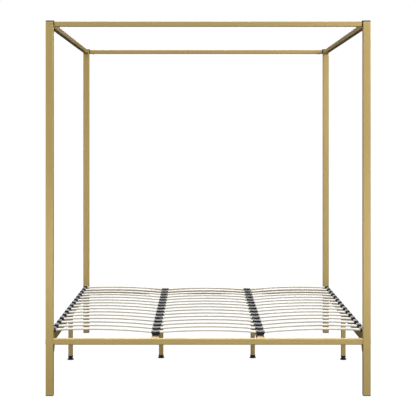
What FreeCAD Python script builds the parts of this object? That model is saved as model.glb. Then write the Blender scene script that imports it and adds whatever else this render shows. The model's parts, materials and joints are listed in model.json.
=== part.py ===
import FreeCAD, Part
import math
import os

# Four poster canopy bed of square steel tube, with a deck of bowed slats in three columns.
# Millimetres. The origin is on the floor at the middle of the bed. +X is to the right as seen
# from the foot end, +Y points to the head end and +Z is up.

Vec = FreeCAD.Vector

# Overall sizes
MATTRESS_WIDTH = 1524.0
MATTRESS_LENGTH = 2032.0
MATTRESS_ROOM = 8.0            # free room between the mattress and the posts, on each side
TOTAL_HEIGHT = 1867.0
DECK_RAIL_BOTTOM = 254.0       # free height under the rails that carry the deck

# Posts
POST = 38.0
POST_WALL = 1.5
TUBE_CORNER = 3.0              # outer corner radius of every tube
LEAST_INNER_CORNER = 0.5       # inner corner radius of a tube with a thick wall
PLUG_CHAMFER = 1.0             # at the tip of every plastic plug
GLIDE_LIP = 4.0
GLIDE_PLUG = 20.0

# Canopy rails and the three-way corner connectors that carry them
CANOPY_TUBE = 25.0
CANOPY_WALL = 1.2
CAP_THICKNESS = 5.0
CAP_ROUND = 2.0
CONNECTOR_FLANGE = 5.5
FLANGE_ROUND = 4.0
CONNECTOR_NECK_WIDTH = 16.0
CONNECTOR_NECK_HEIGHT = 18.0
CONNECTOR_PLUG = 45.0
CONNECTOR_STEM = 55.0
CONNECTOR_STEM_WALL = 3.0
SCREW_INSET = 22.0             # from a canopy rail's end to its screw

# Rails that carry the deck
END_RAIL = 30.0
END_RAIL_WALL = 1.5
SIDE_RAIL_WIDTH = 25.0
SIDE_RAIL_HEIGHT = 50.0
SIDE_RAIL_WALL = 1.5
MIDDLE_RAIL_WIDTH = 38.0
MIDDLE_RAIL_HEIGHT = 25.0
MIDDLE_RAIL_WALL = 1.5
MIDDLE_RAIL_OFFSET = 265.0     # from the middle of the bed to the middle of either middle rail

# Brackets at the ends of the side rails
BRACKET_PLATE = 4.0
BRACKET_CHEEK = 3.0
BRACKET_DROP = 40.0            # how far the bracket reaches below its rail
BRACKET_DEPTH = 40.0
BRACKET_TOE = 8.0              # depth of the cheek at its lower end
BRACKET_LAP = 12.0             # how far the cheeks lap up the sides of the rail
BRACKET_BOLT_DROPS = (10.5, 29.5)

# Hangers that carry the ends of the middle rails
HANGER_WALL = 3.0
HANGER_DEPTH = 38.0
HANGER_CHEEK_HEIGHT = 15.0
HANGER_BACK_HEIGHT = 22.0
HANGER_BOLT_INSET = 19.0       # from the back of the hanger to its bolt

# Nut plates in the ends of the foot and head rails
NUT_PLATE = 4.0
NUT_BOSS_RADIUS = 5.0
NUT_BOSS_LENGTH = 8.0
END_BOLT_SPACING = 14.0

# Slats and their holders
SLAT_ROWS = 15
SLAT_WIDTH = 50.0
SLAT_THICKNESS = 7.0
SLAT_ROUND = 2.0
SLAT_CAMBER = 11.0
FIRST_SLAT_INSET = 100.0       # from a post's inner face to the middle of the nearest slat
HOLDER_HEIGHT = 20.0
HOLDER_HALF_WIDTH = 21.0
HOLDER_FOOT_HALF_WIDTH = 13.0
HOLDER_WEB = 6.0
HOLDER_WALL = 3.0              # plastic beside the slat's edges
HOLDER_FLARE_HEIGHTS = (7.0, 8.0)  # where the sides stop widening and turn upright
HOLDER_FLARE_EASE = 1.5        # how much narrower the holder is at the first of them
HOLDER_LIP = 4.5               # plastic above the slat's end, at the mouth
HOLDER_LIP_WIDTH = 4.0
HOLDER_SLAT_HEIGHT = 14.0      # from the rail's top to the middle of the slat's end
CAP_WIDTH = 24.0
CAP_LENGTH_INSET = 7.5         # from the side rail's outer face to the cap's back
CAP_OVERHANG_DROP = 1.0
CAP_HEIGHT = 18.5
CAP_FRONT_HEIGHT = 13.9        # of the upright face at the mouth
CAP_FRONT_SLOPE = 6.0          # depth of the slope above the mouth
CAP_BACK_HEIGHT = 13.0         # of the upright face at the back
CAP_BACK_SLOPE = 4.0           # depth of the slope above the back
CAP_BACK = 4.0
CAP_PEG_INSET = 8.0            # from the cap's back to its pegs
CAP_SLAT_HEIGHT = 5.3          # from the side rail's top to the middle of the slat's end
PEG_RADIUS = 3.5
PEG_LENGTH = 8.0
PEG_SPACING = 32.0

# Support legs and their levelling feet
LEG_TUBE = 25.0
LEG_WALL = 1.5
LEG_PLATE = 3.0
LEG_PLATE_LENGTH = 70.0
LEG_BOLT_SPACING = 48.0
SKIRT_RADIUS = 14.5
SKIRT_HEIGHT = 9.0
SKIRT_ROOF = 1.5
SOCKET_PLUG = 25.0
SOCKET_NUT_RADIUS = 6.5
SOCKET_NUT_HEIGHT = 12.0
SOCKET_NUT_LIFT = 3.0
FOOT_RADIUS = 18.25
FOOT_HEIGHT = 9.0
FOOT_RIM = 5.0
FOOT_CHAMFER = 1.0
FLARE_BEND = 0.35              # how hollow the foot's flare is, where 0.5 is a straight cone
FOOT_NECK_RADIUS = 12.0
FOOT_NECK_HEIGHT = 7.0
STUD_RADIUS = 4.0
STUD_REACH = 45.0              # from the top of the foot's rim to the top of its stud
STUD_SEAT = 4.0                # from the foot's sole to the bottom of its stud
SIDE_FOOT_OUT = 6.0            # how far the feet under the side rails are screwed out
MIDDLE_FOOT_OUT = 0.5          # how far the feet under the middle rails are screwed out

# Fasteners: shank radius, head radius, head height and hex socket size
M8 = {"shank": 4.0, "head": 7.0, "head_height": 4.0, "socket": 5.0}
M6 = {"shank": 3.0, "head": 5.0, "head_height": 3.2, "socket": 4.0}
M6_FLAT = {"shank": 3.0, "head": 6.0, "head_height": 2.2, "socket": 4.0}
M5_SCREW = {"shank": 2.5, "head": 4.75, "head_height": 2.8, "socket": 3.0}
HEAD_CHAMFER = 0.8
M8_LENGTH = 18.0
M6_LENGTH = 14.0
M5_LENGTH = 14.0
M8_INSERT_RADIUS = 6.0
M6_INSERT_RADIUS = 4.5
INSERT_LENGTH = 12.0

# Clearances
PLUG_GAP = 0.3                 # between a plastic plug and the tube around it, each side
BOLT_GAP = 0.3                 # between a bolt's shank and its clearance hole, on the radius
THREAD_GAP = 0.05              # between a thread and the part it is screwed into, on the radius
STUD_GAP = 0.08                # between a levelling stud and its nut, on the radius
STUD_HOLE_GAP = 0.5            # between a levelling stud and the plastic around it, on the radius
NECK_GAP = 0.4                 # between a foot's neck and its skirt, on the radius
SLAT_GAP = 0.3                 # around a slat's end in its holder
RAIL_DROP_GAP = 0.4            # between a middle rail and its hanger
CUT = 1.0                      # how far a cutting tool runs past the face it cuts

# Sizes that follow
INNER_WIDTH = MATTRESS_WIDTH + 2 * MATTRESS_ROOM
INNER_LENGTH = MATTRESS_LENGTH + 2 * MATTRESS_ROOM
INNER_X = INNER_WIDTH / 2
INNER_Y = INNER_LENGTH / 2
OUTER_X = INNER_X + POST
POST_X = INNER_X + POST / 2
POST_Y = INNER_Y + POST / 2
POST_TOP = TOTAL_HEIGHT - CAP_THICKNESS
CANOPY_Z = POST_TOP - CANOPY_TUBE / 2
END_RAIL_Z = DECK_RAIL_BOTTOM + END_RAIL / 2
SIDE_RAIL_TOP = DECK_RAIL_BOTTOM + SIDE_RAIL_HEIGHT
MIDDLE_RAIL_TOP = DECK_RAIL_BOTTOM + END_RAIL
MIDDLE_RAIL_BOTTOM = MIDDLE_RAIL_TOP - MIDDLE_RAIL_HEIGHT
END_RAIL_INNER_Y = POST_Y - END_RAIL / 2
SIDE_RAIL_END_Y = INNER_Y - BRACKET_PLATE
MIDDLE_RAIL_END_Y = END_RAIL_INNER_Y - HANGER_WALL - RAIL_DROP_GAP
SLAT_PITCH = (INNER_LENGTH - 2 * FIRST_SLAT_INSET) / (SLAT_ROWS - 1)
SLAT_YS = [FIRST_SLAT_INSET - INNER_Y + row * SLAT_PITCH for row in range(SLAT_ROWS)]
CAP_BACK_X = POST_X + SIDE_RAIL_WIDTH / 2 - CAP_LENGTH_INSET
CAP_MOUTH_X = CAP_BACK_X - CAP_WIDTH
CAP_PEG_X = CAP_BACK_X - CAP_PEG_INSET
SIDE_SLAT_END = (CAP_BACK_X - CAP_BACK - SLAT_GAP, SIDE_RAIL_TOP + CAP_SLAT_HEIGHT)
HOLDER_SLAT_Z = MIDDLE_RAIL_TOP + HOLDER_SLAT_HEIGHT
HOLDER_REACH = HOLDER_WEB / 2 + SLAT_GAP
LEG_LENGTH = DECK_RAIL_BOTTOM - SKIRT_HEIGHT - FOOT_HEIGHT - SIDE_FOOT_OUT
EDGE = 1e-3


# ---- Shared shapes ----------------------------------------------------------------------------

def block(x_span, y_span, z_span):
    """A box between the two values of each span."""
    corner = Vec(min(x_span), min(y_span), min(z_span))
    size = [abs(span[1] - span[0]) for span in (x_span, y_span, z_span)]
    return Part.makeBox(size[0], size[1], size[2], corner)


def around(middle, width):
    """The span of a width centred on a value."""
    return (middle - width / 2, middle + width / 2)


def rounded_rectangle(width, depth, radius):
    """A face in the XY plane, centred on the origin, with round corners."""
    outline = Part.makePlane(width, depth, Vec(-width / 2, -depth / 2, 0))
    if radius <= 0:
        return outline
    prism = outline.extrude(Vec(0, 0, 1))
    upright = [edge for edge in prism.Edges if abs(edge.tangentAt(edge.FirstParameter).z) > 0.5]
    rounded = prism.makeFillet(radius, upright)
    return [face for face in rounded.Faces if face.BoundBox.ZMax < EDGE][0]


def plug(size, length):
    """A square plug with round corners and a chamfered tip, along +Z from the origin."""
    shape = rounded_rectangle(size, size, TUBE_CORNER).extrude(Vec(0, 0, length))
    tip = [edge for edge in shape.Edges if edge.BoundBox.ZMin > length - EDGE]
    return shape.makeChamfer(PLUG_CHAMFER, tip)


def tube(width, depth, wall, length):
    """A hollow rectangular tube along +Z from the origin."""
    outer = rounded_rectangle(width, depth, TUBE_CORNER).extrude(Vec(0, 0, length))
    inner_corner = max(TUBE_CORNER - wall, LEAST_INNER_CORNER)
    inner = rounded_rectangle(width - 2 * wall, depth - 2 * wall, inner_corner)
    return outer.cut(inner.extrude(Vec(0, 0, length)))


def tube_along_x(depth, height, wall, length, middle):
    """A tube of a depth along Y and a height along Z, centred on a point."""
    shape = tube(height, depth, wall, length)
    shape.rotate(Vec(0, 0, 0), Vec(0, 1, 0), 90)
    shape.translate(middle - Vec(length / 2, 0, 0))
    return shape


def tube_along_y(width, height, wall, length, middle):
    """A tube of a width along X and a height along Z, centred on a point."""
    shape = tube(width, height, wall, length)
    shape.rotate(Vec(0, 0, 0), Vec(1, 0, 0), -90)
    shape.translate(middle - Vec(0, length / 2, 0))
    return shape


def rod(radius, length, start, direction):
    """A cylinder from a point along a direction."""
    return Part.makeCylinder(radius, length, start, direction)


def bolt(size, length, seat, direction):
    """A socket-headed bolt: its head bears at the seat and its shank points along the direction."""
    head = Part.makeCylinder(size["head"], size["head_height"])
    rim = [edge for edge in head.Edges if edge.BoundBox.ZMin > size["head_height"] - EDGE]
    head = head.makeChamfer(HEAD_CHAMFER, rim)
    corner_radius = size["socket"] / math.sqrt(3)
    corners = [Vec(corner_radius * math.cos(math.radians(60 * step)),
                   corner_radius * math.sin(math.radians(60 * step)), size["head_height"] / 3)
               for step in range(7)]
    recess = Part.Face(Part.makePolygon(corners)).extrude(Vec(0, 0, size["head_height"]))
    shank = Part.makeCylinder(size["shank"], length, Vec(0, 0, -length))
    shape = head.cut(recess).fuse(shank).removeSplitter()
    shape.Placement = FreeCAD.Placement(seat, FreeCAD.Rotation(Vec(0, 0, -1), direction))
    return shape


def insert(outer_radius, bolt_radius, mouth, direction):
    """A plain threaded sleeve, flush with the wall at its mouth."""
    sleeve = rod(outer_radius, INSERT_LENGTH, mouth, direction)
    return sleeve.cut(rod(bolt_radius + THREAD_GAP, INSERT_LENGTH, mouth, direction))


def mirrored(shape, sign_x, sign_y):
    """A copy of a shape made for the +X +Y corner, put in another corner."""
    if sign_x < 0:
        shape = shape.mirror(Vec(0, 0, 0), Vec(1, 0, 0))
    if sign_y < 0:
        shape = shape.mirror(Vec(0, 0, 0), Vec(0, 1, 0))
    return shape


def group(shapes):
    return Part.makeCompound(shapes)


def four_corners(shape):
    return [mirrored(shape, sign_x, sign_y) for sign_x, sign_y in CORNERS.values()]


CORNERS = {"foot_left": (-1, -1), "foot_right": (1, -1), "head_left": (-1, 1), "head_right": (1, 1)}
SIDES = {"left": -1, "right": 1}
ENDS = {"foot": -1, "head": 1}


# ---- Posts, glides and canopy -----------------------------------------------------------------

def end_bolt_heights():
    return [END_RAIL_Z - END_BOLT_SPACING / 2, END_RAIL_Z + END_BOLT_SPACING / 2]


def bracket_bolt_heights():
    return [DECK_RAIL_BOTTOM - drop for drop in BRACKET_BOLT_DROPS]


def post():
    shape = tube(POST, POST, POST_WALL, POST_TOP - GLIDE_LIP)
    shape.translate(Vec(POST_X, POST_Y, GLIDE_LIP))
    notch_width = CONNECTOR_NECK_WIDTH + 2 * PLUG_GAP
    notch_z = (POST_TOP - CONNECTOR_NECK_HEIGHT - PLUG_GAP, POST_TOP + CUT)
    shape = shape.cut(block((INNER_X - CUT, INNER_X + POST_WALL + CUT),
                            around(POST_Y, notch_width), notch_z))
    shape = shape.cut(block(around(POST_X, notch_width),
                            (INNER_Y - CUT, INNER_Y + POST_WALL + CUT), notch_z))
    for height in end_bolt_heights():
        shape = shape.cut(rod(M6_FLAT["shank"] + BOLT_GAP, POST + 2 * CUT,
                              Vec(INNER_X - CUT, POST_Y, height), Vec(1, 0, 0)))
    for height in bracket_bolt_heights():
        shape = shape.cut(rod(M8_INSERT_RADIUS, POST_WALL + 2 * CUT,
                              Vec(POST_X, INNER_Y - CUT, height), Vec(0, 1, 0)))
    return shape


def post_glide():
    """A plastic plug with a lip that the post stands on."""
    lip = rounded_rectangle(POST, POST, TUBE_CORNER).extrude(Vec(0, 0, GLIDE_LIP))
    sole = [edge for edge in lip.Edges if edge.BoundBox.ZMax < EDGE]
    lip = lip.makeChamfer(GLIDE_LIP / 4, sole)
    shape = lip.fuse(plug(POST - 2 * POST_WALL - 2 * PLUG_GAP, GLIDE_LIP + GLIDE_PLUG))
    shape.translate(Vec(POST_X, POST_Y, 0))
    return shape


def connector_arm():
    """The arm along -X from the post: neck, flange against the post and plug in the rail."""
    flange_end = INNER_X - CONNECTOR_FLANGE
    flange = block((flange_end, INNER_X), around(POST_Y, CANOPY_TUBE),
                   (POST_TOP - CANOPY_TUBE, TOTAL_HEIGHT))
    crown = [edge for edge in flange.Edges
             if edge.BoundBox.ZMin > TOTAL_HEIGHT - EDGE and edge.BoundBox.XMax < flange_end + EDGE]
    flange = flange.makeFillet(FLANGE_ROUND, crown)
    neck = block((flange_end, POST_X), around(POST_Y, CONNECTOR_NECK_WIDTH),
                 (POST_TOP - CONNECTOR_NECK_HEIGHT, POST_TOP))
    rail_plug = plug(CANOPY_TUBE - 2 * CANOPY_WALL - 2 * PLUG_GAP, CONNECTOR_PLUG)
    rail_plug.rotate(Vec(0, 0, 0), Vec(0, 1, 0), -90)
    rail_plug.translate(Vec(flange_end, POST_Y, CANOPY_Z))
    pilot = rod(M5_SCREW["shank"] + THREAD_GAP, M5_LENGTH,
                Vec(flange_end - SCREW_INSET, POST_Y, POST_TOP - CANOPY_TUBE), Vec(0, 0, 1))
    return flange.fuse([neck, rail_plug]).cut(pilot)


def corner_connector():
    """A three-way plastic corner: a cap on the post, a stem inside it and an arm for each rail."""
    cap = rounded_rectangle(POST, POST, TUBE_CORNER).extrude(Vec(0, 0, CAP_THICKNESS))
    rim = [edge for edge in cap.Edges if edge.BoundBox.ZMin > CAP_THICKNESS - EDGE]
    cap = cap.makeFillet(CAP_ROUND, rim)
    cap.translate(Vec(POST_X, POST_Y, POST_TOP))
    stem_size = POST - 2 * POST_WALL - 2 * PLUG_GAP
    stem = plug(stem_size, CONNECTOR_STEM)
    stem.rotate(Vec(0, 0, 0), Vec(1, 0, 0), 180)
    stem.translate(Vec(POST_X, POST_Y, POST_TOP))
    hollow_size = stem_size - 2 * CONNECTOR_STEM_WALL
    hollow_top = POST_TOP - CONNECTOR_NECK_HEIGHT - CONNECTOR_STEM_WALL
    hollow = block(around(POST_X, hollow_size), around(POST_Y, hollow_size),
                   (POST_TOP - CONNECTOR_STEM - CUT, hollow_top))
    arm = connector_arm()
    second_arm = arm.mirror(Vec(POST_X, POST_Y, 0), Vec(1, -1, 0))
    return cap.fuse([stem, arm, second_arm]).cut(hollow).removeSplitter()


def canopy_rails():
    """The four rails of the canopy, with a screw hole below each end."""
    rails = {}
    hole_radius = M5_SCREW["shank"] + BOLT_GAP
    span_x = INNER_WIDTH - 2 * CONNECTOR_FLANGE
    span_y = INNER_LENGTH - 2 * CONNECTOR_FLANGE
    hole_z = POST_TOP - CANOPY_TUBE - CUT
    for name, sign in ENDS.items():
        rail = tube_along_x(CANOPY_TUBE, CANOPY_TUBE, CANOPY_WALL, span_x,
                            Vec(0, sign * POST_Y, CANOPY_Z))
        for hole_x in (SCREW_INSET - span_x / 2, span_x / 2 - SCREW_INSET):
            rail = rail.cut(rod(hole_radius, 2 * CUT + CANOPY_WALL,
                                Vec(hole_x, sign * POST_Y, hole_z), Vec(0, 0, 1)))
        rails["canopy_rail_" + name] = rail
    for name, sign in SIDES.items():
        rail = tube_along_y(CANOPY_TUBE, CANOPY_TUBE, CANOPY_WALL, span_y,
                            Vec(sign * POST_X, 0, CANOPY_Z))
        for hole_y in (SCREW_INSET - span_y / 2, span_y / 2 - SCREW_INSET):
            rail = rail.cut(rod(hole_radius, 2 * CUT + CANOPY_WALL,
                                Vec(sign * POST_X, hole_y, hole_z), Vec(0, 0, 1)))
        rails["canopy_rail_" + name] = rail
    return rails


def connector_screws():
    """One screw below each canopy rail's end, into the plug inside it."""
    seat_z = POST_TOP - CANOPY_TUBE
    near_x = INNER_X - CONNECTOR_FLANGE - SCREW_INSET
    near_y = INNER_Y - CONNECTOR_FLANGE - SCREW_INSET
    screws = four_corners(bolt(M5_SCREW, M5_LENGTH, Vec(near_x, POST_Y, seat_z), Vec(0, 0, 1)))
    screws += four_corners(bolt(M5_SCREW, M5_LENGTH, Vec(POST_X, near_y, seat_z), Vec(0, 0, 1)))
    return screws


# ---- Rails of the deck ------------------------------------------------------------------------

def end_rail(sign):
    return tube_along_x(END_RAIL, END_RAIL, END_RAIL_WALL, INNER_WIDTH,
                        Vec(0, sign * POST_Y, END_RAIL_Z))


def end_rail_nut_plate():
    """A plate with two threaded bosses, welded inside the end of the foot or head rail."""
    size = END_RAIL - 2 * END_RAIL_WALL
    shape = rounded_rectangle(size, size, TUBE_CORNER).extrude(Vec(0, 0, NUT_PLATE))
    shape.rotate(Vec(0, 0, 0), Vec(0, 1, 0), -90)
    shape.translate(Vec(INNER_X, POST_Y, END_RAIL_Z))
    reach = NUT_PLATE + NUT_BOSS_LENGTH
    for height in end_bolt_heights():
        shape = shape.fuse(rod(NUT_BOSS_RADIUS, reach, Vec(INNER_X, POST_Y, height), Vec(-1, 0, 0)))
    for height in end_bolt_heights():
        shape = shape.cut(rod(M6_FLAT["shank"] + THREAD_GAP, reach,
                              Vec(INNER_X, POST_Y, height), Vec(-1, 0, 0)))
    return shape


def end_rail_bolts():
    """Flat-headed bolts through the posts from outside, into the nut plates."""
    length = POST + NUT_PLATE + NUT_BOSS_LENGTH
    bolts = []
    for height in end_bolt_heights():
        bolts += four_corners(bolt(M6_FLAT, length, Vec(OUTER_X, POST_Y, height), Vec(-1, 0, 0)))
    return bolts


def peg_holes(rail, rail_top, peg_x, wall):
    """The rail with a pair of peg holes in its top wall for each slat holder."""
    holes = []
    for slat_y in SLAT_YS:
        for peg_y in around(slat_y, PEG_SPACING):
            holes.append(rod(PEG_RADIUS, wall + 2 * CUT, Vec(peg_x, peg_y, rail_top + CUT),
                             Vec(0, 0, -1)))
    return rail.cut(holes)


def insert_holes(rail, mouths, wall):
    """The rail with a hole in its bottom wall at each mouth of a threaded insert."""
    holes = [rod(M6_INSERT_RADIUS, wall + 2 * CUT, mouth - Vec(0, 0, CUT), Vec(0, 0, 1))
             for mouth in mouths]
    return rail.cut(holes)


def leg_insert_mouths(rail_x, rail_bottom):
    return [Vec(rail_x, bolt_y, rail_bottom) for bolt_y in around(0, LEG_BOLT_SPACING)]


def hanger_insert_mouths(rail_x):
    reach = END_RAIL_INNER_Y - HANGER_BOLT_INSET
    return [Vec(rail_x, sign * reach, MIDDLE_RAIL_BOTTOM) for sign in ENDS.values()]


def side_rail(sign):
    rail = tube_along_y(SIDE_RAIL_WIDTH, SIDE_RAIL_HEIGHT, SIDE_RAIL_WALL, 2 * SIDE_RAIL_END_Y,
                        Vec(sign * POST_X, 0, DECK_RAIL_BOTTOM + SIDE_RAIL_HEIGHT / 2))
    rail = peg_holes(rail, SIDE_RAIL_TOP, sign * CAP_PEG_X, SIDE_RAIL_WALL)
    return insert_holes(rail, leg_insert_mouths(sign * POST_X, DECK_RAIL_BOTTOM), SIDE_RAIL_WALL)


def middle_rail(sign):
    rail_x = sign * MIDDLE_RAIL_OFFSET
    rail = tube_along_y(MIDDLE_RAIL_WIDTH, MIDDLE_RAIL_HEIGHT, MIDDLE_RAIL_WALL,
                        2 * MIDDLE_RAIL_END_Y,
                        Vec(rail_x, 0, MIDDLE_RAIL_BOTTOM + MIDDLE_RAIL_HEIGHT / 2))
    rail = peg_holes(rail, MIDDLE_RAIL_TOP, rail_x, MIDDLE_RAIL_WALL)
    mouths = leg_insert_mouths(rail_x, MIDDLE_RAIL_BOTTOM) + hanger_insert_mouths(rail_x)
    return insert_holes(rail, mouths, MIDDLE_RAIL_WALL)


def side_rail_bracket():
    """A pressed plate welded on a side rail's end, with two cheeks that taper below the rail."""
    foot_z = DECK_RAIL_BOTTOM - BRACKET_DROP
    plate = block(around(POST_X, POST), (SIDE_RAIL_END_Y, INNER_Y), (foot_z, SIDE_RAIL_TOP))
    cheek_outline = Part.makePolygon([
        Vec(0, SIDE_RAIL_END_Y, foot_z),
        Vec(0, SIDE_RAIL_END_Y, DECK_RAIL_BOTTOM + BRACKET_LAP),
        Vec(0, SIDE_RAIL_END_Y - BRACKET_DEPTH, DECK_RAIL_BOTTOM + BRACKET_LAP),
        Vec(0, SIDE_RAIL_END_Y - BRACKET_DEPTH, DECK_RAIL_BOTTOM),
        Vec(0, SIDE_RAIL_END_Y - BRACKET_TOE, foot_z),
        Vec(0, SIDE_RAIL_END_Y, foot_z)])
    cheek = Part.Face(cheek_outline).extrude(Vec(BRACKET_CHEEK, 0, 0))
    inner_cheek = cheek.translated(Vec(INNER_X, 0, 0))
    outer_cheek = cheek.translated(Vec(OUTER_X - BRACKET_CHEEK, 0, 0))
    shape = plate.fuse([inner_cheek, outer_cheek])
    for height in bracket_bolt_heights():
        shape = shape.cut(rod(M8["shank"] + BOLT_GAP, BRACKET_PLATE + 2 * CUT,
                              Vec(POST_X, SIDE_RAIL_END_Y - CUT, height), Vec(0, 1, 0)))
    return shape.removeSplitter()


def side_rail_bolts():
    bolts = []
    for height in bracket_bolt_heights():
        bolts += four_corners(bolt(M8, M8_LENGTH, Vec(POST_X, SIDE_RAIL_END_Y, height),
                                   Vec(0, 1, 0)))
    return bolts


def middle_rail_hanger():
    """A stirrup welded to the foot or head rail, with the middle rail's end dropped into it."""
    inner_width = MIDDLE_RAIL_WIDTH + 2 * RAIL_DROP_GAP
    outer_width = inner_width + 2 * HANGER_WALL
    seat_z = MIDDLE_RAIL_BOTTOM - HANGER_WALL
    front_y = END_RAIL_INNER_Y - HANGER_DEPTH
    cheek_top = MIDDLE_RAIL_BOTTOM + HANGER_CHEEK_HEIGHT
    back_y = END_RAIL_INNER_Y - HANGER_WALL
    trough = block(around(MIDDLE_RAIL_OFFSET, outer_width), (front_y, END_RAIL_INNER_Y),
                   (seat_z, cheek_top))
    room = block(around(MIDDLE_RAIL_OFFSET, inner_width), (front_y - CUT, back_y),
                 (MIDDLE_RAIL_BOTTOM, cheek_top + CUT))
    back = block(around(MIDDLE_RAIL_OFFSET, outer_width), (back_y, END_RAIL_INNER_Y),
                 (seat_z, MIDDLE_RAIL_BOTTOM + HANGER_BACK_HEIGHT))
    shape = trough.cut(room).fuse(back)
    hole = rod(M6["shank"] + BOLT_GAP, HANGER_WALL + 2 * CUT,
               Vec(MIDDLE_RAIL_OFFSET, END_RAIL_INNER_Y - HANGER_BOLT_INSET, seat_z - CUT),
               Vec(0, 0, 1))
    return shape.cut(hole).removeSplitter()


def middle_rail_bolts():
    seat = Vec(MIDDLE_RAIL_OFFSET, END_RAIL_INNER_Y - HANGER_BOLT_INSET,
               MIDDLE_RAIL_BOTTOM - HANGER_WALL)
    return four_corners(bolt(M6, M6_LENGTH, seat, Vec(0, 0, 1)))


# ---- Slats and their holders ------------------------------------------------------------------

def bowed_strip(start, end, thickness, width, extra):
    """A bowed strip across the bed, between two (x, z) ends, that runs past them by an extra."""
    if start[0] > end[0]:
        start, end = end, start
    chord = math.hypot(end[0] - start[0], end[1] - start[1])
    radius = (chord ** 2 / 4 + SLAT_CAMBER ** 2) / (2 * SLAT_CAMBER)
    tilt = math.atan2(end[1] - start[1], end[0] - start[0])
    drop = radius - SLAT_CAMBER
    centre_x = (start[0] + end[0]) / 2 + drop * math.sin(tilt)
    centre_z = (start[1] + end[1]) / 2 - drop * math.cos(tilt)
    sweep = math.asin(chord / 2 / radius) + extra / radius
    upright = math.pi / 2 + tilt

    def point(distance, angle):
        return Vec(centre_x + distance * math.cos(angle), -width / 2,
                   centre_z + distance * math.sin(angle))

    def arc(distance):
        return Part.Arc(point(distance, upright + sweep), point(distance, upright),
                        point(distance, upright - sweep)).toShape()

    top = arc(radius + thickness / 2)
    bottom = arc(radius - thickness / 2)
    sides = [Part.makeLine(top.Vertexes[index].Point, bottom.Vertexes[index].Point)
             for index in (0, 1)]
    outline = Part.Wire(Part.__sortEdges__([top, bottom] + sides))
    return Part.Face(outline).extrude(Vec(0, width, 0))


def slat(start, end):
    strip = bowed_strip(start, end, SLAT_THICKNESS, SLAT_WIDTH, 0)
    long_edges = [edge for edge in strip.Edges if edge.Length > SLAT_WIDTH * 2]
    return strip.makeFillet(SLAT_ROUND, long_edges)


def slat_pocket(start, end):
    """The room that a holder leaves around a slat's end."""
    return bowed_strip(start, end, SLAT_THICKNESS + 2 * SLAT_GAP, SLAT_WIDTH + 2 * SLAT_GAP,
                       SLAT_GAP)


def slat_ends():
    """The (x, z) ends of the slat in each column, from left to right."""
    outer = MIDDLE_RAIL_OFFSET + HOLDER_REACH
    inner = MIDDLE_RAIL_OFFSET - HOLDER_REACH
    side_x, side_z = SIDE_SLAT_END
    return [((-side_x, side_z), (-outer, HOLDER_SLAT_Z)),
            ((-inner, HOLDER_SLAT_Z), (inner, HOLDER_SLAT_Z)),
            ((outer, HOLDER_SLAT_Z), (side_x, side_z))]


def holder_length():
    return SLAT_WIDTH + 2 * SLAT_GAP + 2 * HOLDER_WALL


def extruded_profile(points, length):
    """A profile of (x, z) points, extruded along Y and centred on Y = 0."""
    corners = [Vec(x, -length / 2, z) for x, z in points + points[:1]]
    return Part.Face(Part.makePolygon(corners)).extrude(Vec(0, length, 0))


def round_corners(shape, points, radius):
    """The shape with the edges along Y at some of its (x, z) corners rounded."""
    edges = [edge for edge in shape.Edges for x, z in points
             if edge.BoundBox.XLength < EDGE and edge.BoundBox.ZLength < EDGE
             and abs(edge.BoundBox.XMin - x) < EDGE and abs(edge.BoundBox.ZMin - z) < EDGE]
    return shape.makeFillet(radius, edges)


def pegs(peg_x, rail_top):
    return [rod(PEG_RADIUS, PEG_LENGTH, Vec(peg_x, peg_y, rail_top), Vec(0, 0, -1))
            for peg_y in around(0, PEG_SPACING)]


def middle_holder(sign):
    """A double holder: a narrow foot on the rail that widens to a mouth for a slat on each side."""
    middle = sign * MIDDLE_RAIL_OFFSET
    base = MIDDLE_RAIL_TOP
    lip_top = HOLDER_SLAT_HEIGHT + SLAT_THICKNESS / 2 + HOLDER_LIP
    half = [(HOLDER_FOOT_HALF_WIDTH, 0),
            (HOLDER_HALF_WIDTH - HOLDER_FLARE_EASE, HOLDER_FLARE_HEIGHTS[0]),
            (HOLDER_HALF_WIDTH, HOLDER_FLARE_HEIGHTS[1]),
            (HOLDER_HALF_WIDTH, lip_top),
            (HOLDER_HALF_WIDTH - HOLDER_LIP_WIDTH, lip_top),
            (HOLDER_FOOT_HALF_WIDTH, HOLDER_HEIGHT)]
    points = [(middle + x, base + z) for x, z in half]
    points += [(middle - x, base + z) for x, z in reversed(half)]
    shape = extruded_profile(points, holder_length())
    shape = round_corners(shape, points[3:5] + points[7:9], HOLDER_WALL / 3)
    columns = slat_ends()
    beside = columns[:2] if sign < 0 else columns[1:]
    shape = shape.fuse(pegs(middle, base))
    return shape.cut([slat_pocket(start, end) for start, end in beside])


def side_cap(sign):
    """A single holder on a side rail, with its mouth just past the rail's inner edge."""
    base = SIDE_RAIL_TOP
    rail_inner = POST_X - SIDE_RAIL_WIDTH / 2
    profile = [(CAP_BACK_X, base), (rail_inner, base),
               (CAP_MOUTH_X, base - CAP_OVERHANG_DROP),
               (CAP_MOUTH_X, base + CAP_FRONT_HEIGHT),
               (CAP_MOUTH_X + CAP_FRONT_SLOPE, base + CAP_HEIGHT),
               (CAP_BACK_X - CAP_BACK_SLOPE, base + CAP_HEIGHT),
               (CAP_BACK_X, base + CAP_BACK_HEIGHT)]
    points = [(sign * x, z) for x, z in profile]
    shape = extruded_profile(points, holder_length())
    shape = round_corners(shape, points[3:], HOLDER_WALL / 2)
    column = slat_ends()[0 if sign < 0 else 2]
    shape = shape.fuse(pegs(sign * CAP_PEG_X, base))
    return shape.cut(slat_pocket(*column))


def at_each_row(shape):
    return [shape.translated(Vec(0, slat_y, 0)) for slat_y in SLAT_YS]


# ---- Support legs and levelling feet ----------------------------------------------------------

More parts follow.
